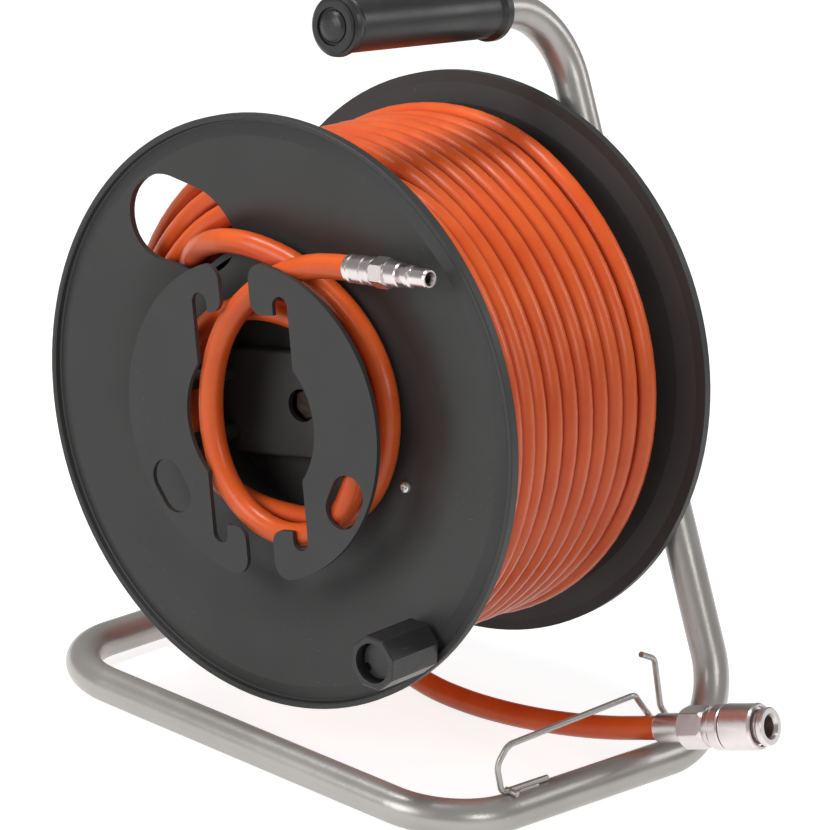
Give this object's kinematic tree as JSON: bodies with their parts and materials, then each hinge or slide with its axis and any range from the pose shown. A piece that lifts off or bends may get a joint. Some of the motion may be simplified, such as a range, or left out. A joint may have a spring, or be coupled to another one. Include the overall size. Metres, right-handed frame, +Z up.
{
  "type": "garden hose reel cart",
  "caption": "Compressed-air hose reel: orange hose on a black plastic drum that turns on a bent steel tube stand with a carrying grip, crank knob, parked hose end and quick coupler.",
  "frame": {"origin": "on the floor under the middle of the stand and drum, the hose and its fittings left out", "axes": "+Z up, +Y along the drum axis from the front flange to the rear flange, +X towards the side the outer coupler points to"},
  "size_m": [0.3704, 0.2294, 0.3773],
  "materials": {
    "stand_tube": "satin warm grey powder coat",
    "rest_wire": "satin grey coated wire",
    "drum_black": "charcoal moulded plastic, fine grain",
    "grip_black": "near-black moulded plastic, slight sheen",
    "hose_orange": "smooth soft orange hose, satin",
    "fitting_steel": "nickel-plated turned steel",
    "valve_brass": "turned brass",
    "zinc_steel": "zinc plated",
    "black_steel": "oil-blackened steel",
    "bush_nylon": "natural nylon"
  },
  "bodies": {
    "stand": {"stand_base_tube": "stand_tube", "stand_right_leg": "stand_tube", "stand_left_leg": "stand_tube", "axle_plate": "stand_tube", "handle_grip": "grip_black", "grip_end_cap": "grip_black", "spindle": "black_steel", "spindle_washer_front": "black_steel", "spindle_lock_nut": "black_steel", "spindle_spacer": "bush_nylon", "spindle_washer_rear": "zinc_steel", "spindle_bolt": "zinc_steel", "hose_rest_wire": "rest_wire", "hose_outer_lead": "hose_orange", "coupler_ferrule": "fitting_steel", "coupler_body": "fitting_steel"},
    "drum": {"drum_front_flange": "drum_black", "drum_rear_flange": "drum_black", "drum_core": "drum_black", "bush_front": "bush_nylon", "bush_rear": "bush_nylon", "flange_screws_front": "zinc_steel", "flange_screws_rear": "zinc_steel", "plate_screws": "zinc_steel", "hose_plate_right": "drum_black", "hose_plate_left": "drum_black", "knob_pin": "grip_black", "knob_screw": "zinc_steel", "hose_winding": "hose_orange", "hose_inner_lead": "hose_orange", "plug_ferrule": "fitting_steel", "plug_nipple": "fitting_steel"},
    "knob": {"crank_knob": "grip_black"},
    "sleeve": {"coupler_sleeve": "fitting_steel"},
    "valve": {"coupler_valve": "valve_brass"}
  },
  "joints": [
    {"name": "drum_spin", "type": "hinge", "parent": "stand", "child": "drum", "pos_m": [-0.0126, 0, 0.172], "axis": [0, 1, 0], "continuous": true},
    {"name": "knob_spin", "type": "hinge", "parent": "drum", "child": "knob", "pos_m": [0.0886, -0.0977, 0.08648], "axis": [0, 1, 0], "continuous": true},
    {"name": "sleeve_slide", "type": "slide", "parent": "stand", "child": "sleeve", "axis": [0.9458, 0.0367, 0.3226], "range_m": [0, 0.0026], "stiffness_N_per_m": 400},
    {"name": "valve_slide", "type": "slide", "parent": "stand", "child": "valve", "axis": [-0.9458, -0.0367, -0.3226], "range_m": [0, 0.003], "stiffness_N_per_m": 600}
  ]
}
